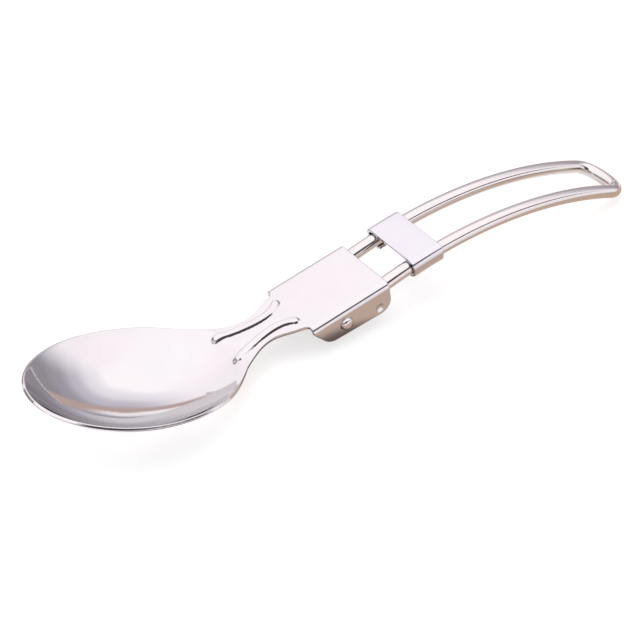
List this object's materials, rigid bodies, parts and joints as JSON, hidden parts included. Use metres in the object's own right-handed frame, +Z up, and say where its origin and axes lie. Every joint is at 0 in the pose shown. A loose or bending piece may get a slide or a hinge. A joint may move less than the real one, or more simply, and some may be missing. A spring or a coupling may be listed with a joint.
{
  "type": "folding spoon",
  "caption": "Camping spoon of pressed stainless sheet with a bowed wire handle that folds under the bowl and a sliding sheet lock on the wire.",
  "frame": {"origin": "bottom centre of the open spoon's bounding box, on the table under the middle of the spoon", "axes": "+X from the bowl's tip towards the handle's loop, +Y across the spoon, +Z up"},
  "size_m": [0.1486, 0.0336, 0.0154],
  "materials": {
    "pressed_steel": "mirror polished stainless steel",
    "wire_steel": "polished stainless wire",
    "lock_steel": "mirror polished stainless steel"
  },
  "bodies": {
    "head": {"spoon_head": "pressed_steel"},
    "handle": {"wire_handle": "wire_steel"},
    "lock": {"sliding_lock": "lock_steel"}
  },
  "joints": [
    {"name": "handle_fold", "type": "hinge", "parent": "head", "child": "handle", "pos_m": [-0.00583, 0, 0.00491], "axis": [0, 1, 0], "range_deg": [0, 178]},
    {"name": "lock_slide", "type": "hinge", "parent": "handle", "child": "lock", "pos_m": [0.03026, 0, -0.08908], "axis": [0, 1, 0], "range_deg": [-3.7, 28]}
  ]
}
